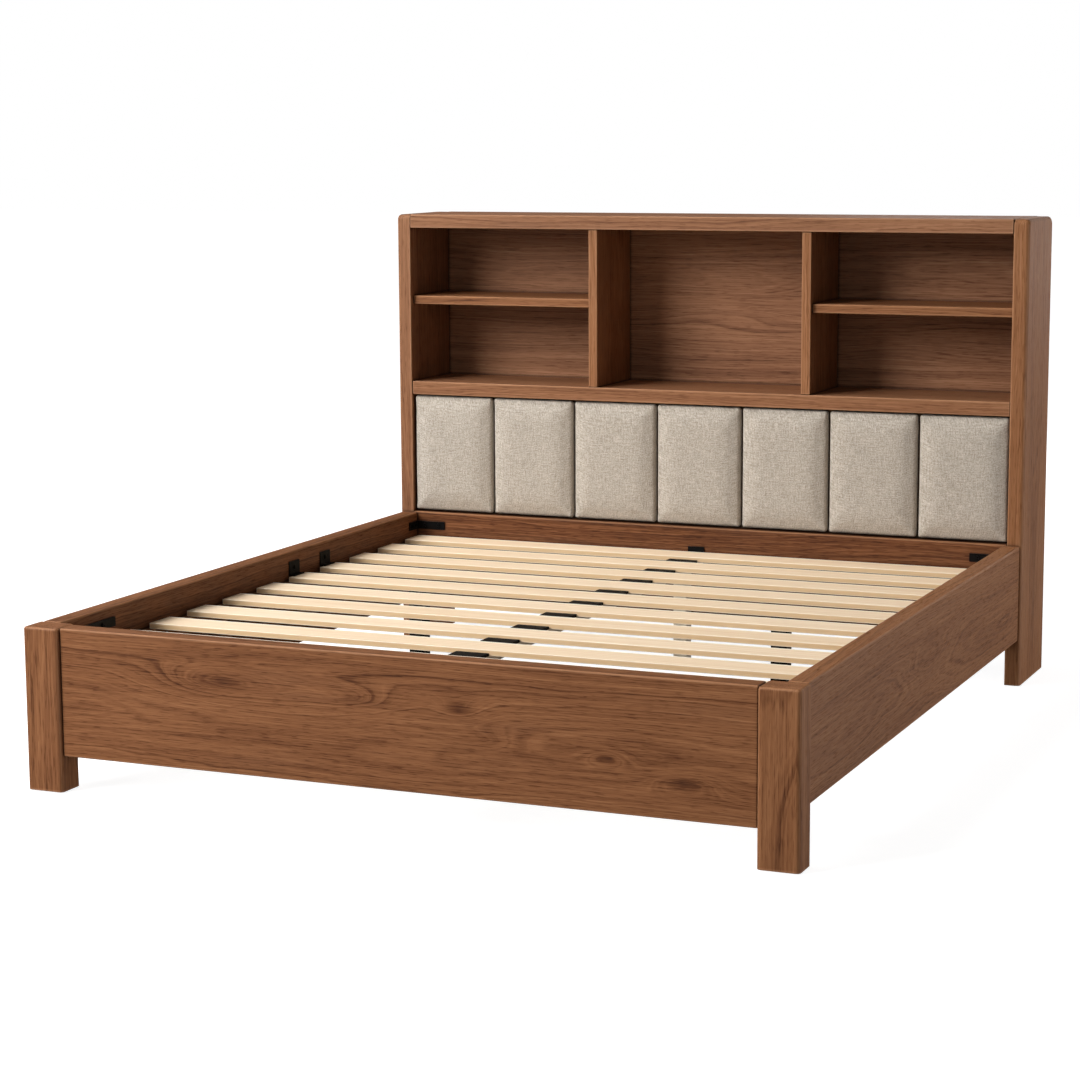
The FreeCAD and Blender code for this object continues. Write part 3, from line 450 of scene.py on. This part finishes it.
def swirls(finish, grain, places):
    """Lift of the rings and darkness about the swirls of a board."""
    lift, dark = 0.0, 0.0
    for along, across, length, breadth, height, depth in places:
        offset = finish.vector("SUBTRACT", grain, (along, across, 0.0))
        reach = finish.vector("LENGTH", finish.vector("MULTIPLY", offset, (1 / length, 1 / breadth, 0.0)))
        bell = finish.math("POWER", math.e, finish.times(finish.times(reach, reach), -1.0))
        heart = finish.smooth(reach, 0.0, HEART_REACH, 1.0, 0.0)
        lift = finish.math("ADD", lift, finish.times(bell, height))
        dark = finish.math("MAXIMUM", dark, finish.times(heart, depth))
    return lift, dark


def walnut(name, seed):
    """Walnut for one board, with its own grain direction, pith and figure."""
    draw = random.Random(seed)
    middle, half = box_numbers(name)
    axes = grain_axes(name)
    finish = Finish("walnut_" + name)
    place = finish.place()
    parts = finish.split(place)
    board = finish.join(*[parts[axis] for axis in axes])
    wide = half[axes[1]] * 2 > FLAT_SAWN_WIDTH
    reach = draw.uniform(*(FLAT_SAWN_PITH if wide else STRAIGHT_PITH)) * draw.choice((-1, 1))
    across = middle[axes[1]] + half[axes[1]] * draw.uniform(-PITH_OFFSET, PITH_OFFSET)
    pith = (0.0, across, middle[axes[2]] + reach)
    shift = random_shift(draw)
    lift, dark = swirls(finish, board, SWIRLS.get(name, ()))
    node = finish.add("ShaderNodeGroup", node_tree=WALNUT_FIGURE)
    finish.feed(node.inputs["Grain"], finish.vector("ADD", board, shift))
    finish.feed(node.inputs["Pith"], Vector(pith) + shift)
    finish.feed(node.inputs["Swirl"], lift)
    finish.feed(node.inputs["Knot"], dark)
    finish.feed(node.inputs["Edge"], edge_distance(finish, place, name))
    finish.feed(node.inputs["Tone"], TONES_AND_PAINTED_LIGHT.get(name, USUAL_TONE))
    finish.feed(node.inputs["Grey"], GREYS.get(name, 0.0))
    # Painted shade in seams and inner corners, and a line of painted shade where a board's end meets another.
    shade = finish.painted_shade(*WALNUT_PAINTED_SHADE)
    if name in SEAMED:
        along = finish.math("ABSOLUTE", finish.math("SUBTRACT", parts[axes[0]], middle[axes[0]]))
        from_end = finish.math("SUBTRACT", half[axes[0]], along)
        shade = finish.math("MAXIMUM", shade, finish.smooth(from_end, *SEAM_REACH, SEAM_SHADE_DEPTH, 0.0))
    finish.set(Base_Color=finish.mix(shade, node.outputs["Color"], PAINTED_SHADE_COLOUR))
    finish.set(Roughness=node.outputs["Roughness"], Specular_IOR_Level=WALNUT_SPECULAR)
    finish.bump(node.outputs["Height"], *WALNUT_BUMP)
    return finish.material


# Slats: noises as for walnut, rings a metre across the slat, how far the sway moves them, tone and colours.
SLAT_SWAY = ((0.9, 12.0, 12.0), 1.0)
SLAT_STREAK = ((1.6, 210.0, 210.0), 3.0, 0.6)
SLAT_FIBRE = ((9.0, 700.0, 700.0), 2.0)
SLAT_RINGS_PER_METRE = 120.0
SLAT_RING_SWAY = 9.0
SLAT_TONE = 0.5
SLAT_TONE_SPREAD = 0.06
SLAT_STOPS = ((0.0, srgb(224, 190, 146)), (0.5, srgb(244, 218, 185)), (1.0, srgb(254, 237, 211)))
# Sawn side faces, browner partly by their own colour and partly by painted shade, told from tops by how far
# the face looks up, and how much of their colours they take.
FACING_SPAN = (0.2, 0.8)
SAWN_AND_SHADE_SHARE = 0.85
SAWN_AND_SHADED_COLOURS = (srgb(204, 166, 118), srgb(230, 196, 150))
# Painted highlights on the arrises and along the far rim of a slat's top: where they begin to fade, where
# they end, their share.
SLAT_PAINTED_HIGHLIGHT = (0.0005, 0.0035, 0.5)
SLAT_PAINTED_RIM = (0.003, 0.016, 0.75)
SLAT_HIGHLIGHT_COLOUR = srgb(255, 246, 228)
SLAT_ROUGHNESS = 0.45
SLAT_FIBRE_ROUGHNESS = 0.15
SLAT_SPECULAR = 0.35
SLAT_BUMP = (0.15, 0.0004)


def slat_wood(name, seed):
    """Pale planed softwood with straight grain along the slat, browner sawn edges that are partly painted
    shade, and painted highlights on its arrises and far rim.
    """
    draw = random.Random(seed)
    finish = Finish("slat_wood_" + name)
    place = finish.place()
    grain = finish.vector("ADD", place, random_shift(draw))
    sway = finish.noise(grain, *SLAT_SWAY)
    across = finish.split(grain)[1]
    rings = finish.math("ADD", finish.times(across, SLAT_RINGS_PER_METRE), finish.times(sway, SLAT_RING_SWAY))
    ring_tone = finish.line_noise(rings, 1.0, detail=2.0)
    streak = finish.noise(grain, *SLAT_STREAK)
    fibre = finish.noise(grain, *SLAT_FIBRE)
    tone = finish.weighted((ring_tone, 0.9), (streak, 1.1), (fibre, 0.5))
    own_tone = SLAT_TONE + draw.uniform(-SLAT_TONE_SPREAD, SLAT_TONE_SPREAD)
    colour = finish.ramp(finish.math("ADD", tone, own_tone, clamp=True), SLAT_STOPS)
    # Side faces browner than the tops: partly the sawn wood's own colour, partly painted shade.
    upward = finish.split(finish.add("ShaderNodeNewGeometry").outputs["Normal"])[2]
    sawn_and_shaded = finish.smooth(finish.math("ABSOLUTE", upward), *FACING_SPAN, SAWN_AND_SHADE_SHARE, 0.0)
    colour = finish.mix(sawn_and_shaded, colour, finish.mix(fibre, *SAWN_AND_SHADED_COLOURS))
    # Painted highlights on the arrises and along the far rim of the top.
    painted_highlight = finish.smooth(edge_distance(finish, place, name), *SLAT_PAINTED_HIGHLIGHT, 0.0)
    _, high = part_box(name)
    from_far_side = finish.math("SUBTRACT", high[1], finish.split(place)[1])
    painted_rim = finish.times(finish.smooth(from_far_side, *SLAT_PAINTED_RIM, 0.0), finish.smooth(upward, *FACING_SPAN))
    colour = finish.mix(finish.math("MAXIMUM", painted_highlight, painted_rim), colour, SLAT_HIGHLIGHT_COLOUR)
    rough = finish.math("ADD", finish.times(fibre, SLAT_FIBRE_ROUGHNESS), SLAT_ROUGHNESS)
    finish.set(Base_Color=colour, Roughness=rough, Specular_IOR_Level=SLAT_SPECULAR)
    finish.bump(finish.weighted((streak, 0.5), (fibre, 0.5)), *SLAT_BUMP)
    return finish.material


# Unfinished wood: clouds a metre, tone, colour of the painted shade in its seams and inner corners, roughness
# and relief.
PLAIN_CLOUDS = 6.0
PLAIN_TONE = 0.5
PLAIN_SHADE_COLOUR = srgb(30, 20, 12)
PLAIN_ROUGHNESS = 0.5
PLAIN_STREAK_ROUGHNESS = 0.2
PLAIN_BUMP = (0.2, 0.0004)


def plain_wood(name, dark, light, stretch):
    """Unfinished wood with fine straight grain."""
    finish = Finish(name)
    place = finish.place()
    streak = finish.noise(place, stretch, detail=3.0, roughness=0.6)
    cloud = finish.noise(place, PLAIN_CLOUDS, detail=2.0)
    tone = finish.math("ADD", finish.weighted((streak, 0.8), (cloud, 0.5)), PLAIN_TONE, clamp=True)
    # Painted shade in seams and inner corners.
    shade = finish.painted_shade(*BOARD_PAINTED_SHADE)
    finish.set(Base_Color=finish.mix(shade, finish.mix(tone, dark, light), PLAIN_SHADE_COLOUR))
    finish.set(Roughness=finish.math("ADD", PLAIN_ROUGHNESS, finish.times(streak, PLAIN_STREAK_ROUGHNESS)))
    finish.bump(streak, *PLAIN_BUMP)
    return finish.material


# Linen: threads a metre, how softly one thread crosses over the other, slubs along and across the threads,
# heather and clouds with the detail and roughness of their noise, tone, colours, the colour of painted shade
# in its seams, gloss and relief.
THREADS_PER_METRE = 620.0
CROSSING_SPAN = (-0.4, 0.4)
UPRIGHT_SLUBS = ((310.0, 34.0, 1.0), 2.0, 0.6)
LEVEL_SLUBS = ((34.0, 310.0, 1.0), 2.0, 0.6)
HEATHER = ((260.0, 260.0, 1.0), 3.0, 0.8)
LINEN_CLOUDS = ((14.0, 14.0, 1.0), 2.0)
LINEN_TONE = 0.5
LINEN_STOPS = ((0.0, srgb(130, 119, 106)), (0.5, srgb(175, 165, 152)), (1.0, srgb(213, 205, 194)))
LINEN_SHADE_COLOUR = srgb(58, 48, 40)
LINEN_ROUGHNESS = (0.86, 0.97)
LINEN_SPECULAR = 0.15
LINEN_SHEEN = 0.25
LINEN_SHEEN_ROUGHNESS = 0.5
LINEN_BUMP = (0.35, 0.0008)
# The part of a noise's range over which a finish goes from its smoothest to its roughest.
GRAIN_SPAN = (0.2, 0.8)


def linen():
    """Heathered linen: a plain weave of uneven yarns, paler and darker in both directions."""
    finish = Finish("linen")
    x, y, z = finish.split(finish.place())
    warp_way = finish.math("ADD", x, y)
    weft_way = finish.math("SUBTRACT", z, y)
    cloth = finish.join(warp_way, weft_way, 0.0)
    turn = math.pi * THREADS_PER_METRE
    warp = finish.math("ABSOLUTE", finish.math("SINE", finish.times(warp_way, turn)))
    weft = finish.math("ABSOLUTE", finish.math("SINE", finish.times(weft_way, turn)))
    over = finish.math("SINE", finish.times(finish.math("ADD", warp_way, weft_way), turn))
    over = finish.smooth(over, *CROSSING_SPAN)
    under = finish.math("SUBTRACT", 1.0, over)
    weave = finish.math("ADD", finish.times(warp, over), finish.times(weft, under))
    upright_slub = finish.noise(cloth, *UPRIGHT_SLUBS)
    level_slub = finish.noise(cloth, *LEVEL_SLUBS)
    heather = finish.noise(cloth, *HEATHER)
    cloud = finish.noise(cloth, *LINEN_CLOUDS)
    tone = finish.weighted((upright_slub, 0.8), (level_slub, 0.8), (heather, 2.0), (weave, 0.25),
                           (cloud, 0.10))
    colour = finish.ramp(finish.math("ADD", tone, LINEN_TONE, clamp=True), LINEN_STOPS)
    # Painted shade in the seams and inner corners of the cover.
    finish.set(Base_Color=finish.mix(finish.painted_shade(*LINEN_PAINTED_SHADE), colour, LINEN_SHADE_COLOUR))
    finish.set(Roughness=finish.smooth(heather, *GRAIN_SPAN, *LINEN_ROUGHNESS))
    finish.set(Specular_IOR_Level=LINEN_SPECULAR)
    finish.set(Sheen_Weight=LINEN_SHEEN, Sheen_Roughness=LINEN_SHEEN_ROUGHNESS)
    finish.bump(finish.weighted((weave, 0.7), (upright_slub, 0.6), (level_slub, 0.6)), *LINEN_BUMP)
    return finish.material


# Powder coat: the grains of its orange peel a metre, their relief, and the span of the clouds in its gloss.
PEEL_GRAINS = 900.0
PEEL_BUMP = (0.15, 0.0003)
GLOSS_SPAN = (0.3, 0.8)


def powder_coat(name, clouds, colours, roughness, specular, colour_span=None):
    """Powder coat with a fine orange peel, and with clouds or, in a narrower span, rubbed spots."""
    finish = Finish(name)
    place = finish.place()
    peel = finish.noise(place, PEEL_GRAINS, detail=2.0)
    cloud = finish.noise(place, clouds, detail=3.0)
    share = finish.smooth(cloud, *colour_span) if colour_span else cloud
    finish.set(Base_Color=finish.mix(share, *colours), Specular_IOR_Level=specular)
    finish.set(Roughness=finish.smooth(cloud, *GLOSS_SPAN, *roughness))
    finish.bump(peel, *PEEL_BUMP)
    return finish.material


def fine_grained(name, grain, colours, roughness, bump, clouds=None, **inputs):
    """A finish with a fine grain in its gloss and relief, and in its colour too unless that has clouds."""
    finish = Finish(name)
    place = finish.place()
    speckle = finish.noise(place, *grain)
    share = finish.noise(place, *clouds) if clouds else speckle
    finish.set(Base_Color=finish.mix(share, *colours), **inputs)
    finish.set(Roughness=finish.smooth(speckle, *GRAIN_SPAN, *roughness))
    finish.bump(speckle, *bump)
    return finish.material


def shared_finishes():
    """The finishes that nodes share, by the names of their slots."""
    return {
        "linen": linen(),
        "black_steel": powder_coat("black_steel", 22.0, (srgb(10, 9, 9), srgb(21, 20, 19)),
                                   (0.42, 0.58), 0.08, colour_span=(0.5, 0.8)),
        "cream_steel": powder_coat("cream_steel", 18.0, (srgb(226, 212, 188), srgb(238, 226, 206)),
                                   (0.40, 0.55), 0.3),
        "black_plastic": fine_grained("black_plastic", (1300.0, 1.0), (srgb(8, 8, 8), srgb(17, 17, 17)),
                                      (0.52, 0.68), (0.2, 0.0003), clouds=(40.0, 2.0),
                                      Specular_IOR_Level=0.06),
        "felt": fine_grained("felt", ((1500.0, 1500.0, 400.0), 3.0, 0.7),
                             (srgb(64, 52, 44), srgb(104, 88, 76)), (0.88, 0.98), (0.5, 0.0006),
                             Sheen_Weight=0.3),
        "zinc": fine_grained("zinc", (700.0, 2.0), (srgb(150, 150, 146), srgb(204, 204, 200)),
                             (0.28, 0.45), (0.12, 0.0002), Metallic=1.0),
        "plywood": plain_wood("plywood", srgb(176, 136, 92), srgb(206, 168, 122), (6.0, 300.0, 300.0)),
        "beech": plain_wood("beech", srgb(196, 150, 106), srgb(222, 182, 138), 200.0),
    }


def dress(name, material):
    """Gives a CAD node one material."""
    slots = nodes[name].data.materials
    slots.clear()
    slots.append(material)


def dress_nodes():
    """Gives every CAD node the finish of its slot, and hands back the linen for the pads' covers."""
    shared = shared_finishes()
    for seed, row in enumerate(frame["record"]["subparts"], start=1):
        name, slot = row["node"], row["material_slot"]
        if slot == "walnut":
            dress(name, walnut(name, seed))
        elif slot == "slat_wood":
            dress(name, slat_wood(name, seed))
        else:
            dress(name, shared[slot])
    return shared["linen"]


def settled(obj, name):
    """A new mesh object of an object as its modifiers leave it."""
    depsgraph = bpy.context.evaluated_depsgraph_get()
    mesh = bpy.data.meshes.new_from_object(obj.evaluated_get(depsgraph))
    mesh.name = name
    result = bpy.data.objects.new(name, mesh)
    bpy.context.scene.collection.objects.link(result)
    bpy.data.objects.remove(obj)
    return result


def points_of(mesh):
    flat = np.zeros(len(mesh.vertices) * 3)
    mesh.vertices.foreach_get("co", flat)
    return flat.reshape(-1, 3)


def cushion(number, material):
    """A headboard pad, blown up as cloth from its CAD solid and held at its back and by its neighbours."""
    node_name = f"headboard_pad_{number}"
    low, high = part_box(node_name)
    middle, half = box_numbers(node_name)
    shell = bpy.data.objects.new("pad_blank", nodes[node_name].data.copy())
    bpy.context.scene.collection.objects.link(shell)
    inset = Vector([1 - PAD_START_INSETS[axis] / half[axis] for axis in range(3)])
    shrink = Matrix.Diagonal((*inset, 1.0))
    shell.data.transform(Matrix.Translation(middle) @ shrink @ Matrix.Translation(-middle))
    remesh = shell.modifiers.new("remesh", "REMESH")
    remesh.mode = "VOXEL"
    remesh.voxel_size = PAD_VOXEL
    pad = settled(shell, "pad_remeshed")
    start = points_of(pad.data)
    held = pad.vertex_groups.new(name="held")
    back = start[:, 1].max() - PAD_PIN_DEPTH
    held.add([int(index) for index in np.flatnonzero(start[:, 1] > back)], 1.0, "REPLACE")
    cloth = pad.modifiers.new("cloth", "CLOTH")
    cloth.settings.vertex_group_mass = "held"
    cloth.settings.use_pressure = True
    cloth.settings.uniform_pressure_force = PAD_PRESSURES[number - 1]
    cloth.settings.effector_weights.gravity = 0.0
    cloth.point_cache.frame_end = PAD_FRAMES
    for moment in range(1, PAD_FRAMES + 1):
        bpy.context.scene.frame_set(moment)
    pad = settled(pad, "pad_blown")
    bpy.context.scene.frame_set(1)
    pad.name = f"pad_cover_{number}"
    pad.data.name = pad.name
    end = points_of(pad.data)
    move = end - start
    reach = np.linalg.norm(move, axis=1, keepdims=True)
    end = start + move * PAD_CAP / (PAD_CAP + reach)
    pad.data.vertices.foreach_set("co", np.clip(end, np.array(low), np.array(high)).ravel())
    pad.data.polygons.foreach_set("use_smooth", np.ones(len(pad.data.polygons), bool))
    pad.data.materials.clear()
    pad.data.materials.append(material)
    front = pad.vertex_groups.new(name="front")
    near = end[:, 1] < end[:, 1].min() + PAD_RELIEF_DEPTH
    front.add([int(index) for index in np.flatnonzero(near)], 1.0, "REPLACE")
    smooth = pad.modifiers.new("smooth", "SMOOTH")
    smooth.iterations = PAD_SMOOTH_ROUNDS
    relief = pad.modifiers.new("relief", "SMOOTH")
    relief.use_x = False
    relief.use_z = False
    relief.iterations = PAD_RELIEF_ROUNDS
    relief.vertex_group = "front"
    subdivision = pad.modifiers.new("subdivision", "SUBSURF")
    subdivision.levels = 1
    subdivision.render_levels = 1
    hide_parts(node_name)
    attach(pad, ROOT_BODY)


def stage_object(name, mesh_data, material):
    """An object that belongs to the studio and not to the bed."""
    mesh = bpy.data.meshes.new(name)
    mesh.from_pydata(*mesh_data)
    mesh.materials.append(material)
    obj = bpy.data.objects.new(name, mesh)
    bpy.context.scene.collection.objects.link(obj)
    return obj


def pale_floor(name):
    albedo = (FLOOR_ALBEDO, FLOOR_ALBEDO, FLOOR_ALBEDO, 1.0)
    finish = Finish(name)
    finish.set(Base_Color=albedo, Roughness=FLOOR_ROUGHNESS, Specular_IOR_Level=0.0)
    return finish


def studio():
    """A pale floor, a white surround that only the camera sees, soft lights and the ambient light."""
    floor = pale_floor("floor")
    glow = floor.smooth(floor.vector("LENGTH", floor.place()), *FLOOR_GLOW_REACH, FLOOR_GLOW, 1.0)
    floor.set(Emission_Color=WHITE, Emission_Strength=glow)
    side = STAGE_RADIUS
    corners = [(-side, -side, 0.0), (side, -side, 0.0), (side, side, 0.0), (-side, side, 0.0)]
    ground = stage_object("floor", (corners, [], [(0, 1, 2, 3)]), floor.material)
    ground.visible_diffuse = False
    ground.visible_glossy = False
    ground.visible_shadow = False
    under = [(x, y, -FLOOR_STEP) for x, y, _ in corners]
    unseen = stage_object("floor_bounce", (under, [], [(0, 1, 2, 3)]), pale_floor("floor_bounce").material)
    unseen.visible_camera = False
    surround = Finish("surround")
    surround.set(Base_Color=BLACK, Specular_IOR_Level=0.0, Emission_Color=WHITE, Emission_Strength=1.0)
    points = [(x, y, z) for z in (SURROUND_BOTTOM, side) for x, y, _ in corners]
    walls = [(index, (index + 1) % 4, (index + 1) % 4 + 4, index + 4) for index in range(4)]
    backdrop = stage_object("surround", (points, [], walls + [(4, 5, 6, 7)]), surround.material)
    backdrop.visible_diffuse = False
    backdrop.visible_glossy = False
    backdrop.visible_transmission = False
    backdrop.visible_shadow = False
    for name, place, target, width, height, power in LIGHTS:
        lamp = bpy.data.lights.new(name, "AREA")
        lamp.shape = "RECTANGLE"
        lamp.size = width
        lamp.size_y = height
        lamp.energy = power
        obj = bpy.data.objects.new(name, lamp)
        obj.location = place
        obj.rotation_euler = (Vector(target) - Vector(place)).to_track_quat("-Z", "Y").to_euler()
        bpy.context.scene.collection.objects.link(obj)
    world = bpy.data.worlds.new("studio")
    world.use_nodes = True
    ambient = world.node_tree.nodes["Background"].inputs
    ambient["Color"].default_value = WHITE
    ambient["Strength"].default_value = WORLD_STRENGTH
    bpy.context.scene.world = world
    bpy.context.scene.view_settings.view_transform = "Standard"


def camera():
    """The camera that was fitted to the photograph's lines."""
    data = bpy.data.cameras.new("camera")
    data.sensor_width = SENSOR_WIDTH
    data.lens = FOCAL_PIXELS / IMAGE_SIDE * SENSOR_WIDTH
    data.clip_end = VIEW_DEPTH
    level = math.cos(CAMERA_PITCH)
    east, north = math.cos(CAMERA_AZIMUTH), math.sin(CAMERA_AZIMUTH)
    forward = Vector((-north * level, east * level, math.sin(CAMERA_PITCH)))
    flat_right = Vector((east, north, 0.0))
    flat_up = flat_right.cross(forward)
    right = flat_right * math.cos(CAMERA_ROLL) + flat_up * math.sin(CAMERA_ROLL)
    up = right.cross(forward)
    turn = Matrix((right, up, -forward)).transposed().to_4x4()
    obj = bpy.data.objects.new("camera", data)
    obj.matrix_world = Matrix.Translation(Vector(CAMERA_PLACE)) @ turn
    bpy.context.scene.collection.objects.link(obj)
    bpy.context.scene.camera = obj


linen_finish = dress_nodes()
for pad_number in range(1, len(PAD_PRESSURES) + 1):
    cushion(pad_number, linen_finish)
studio()
camera()
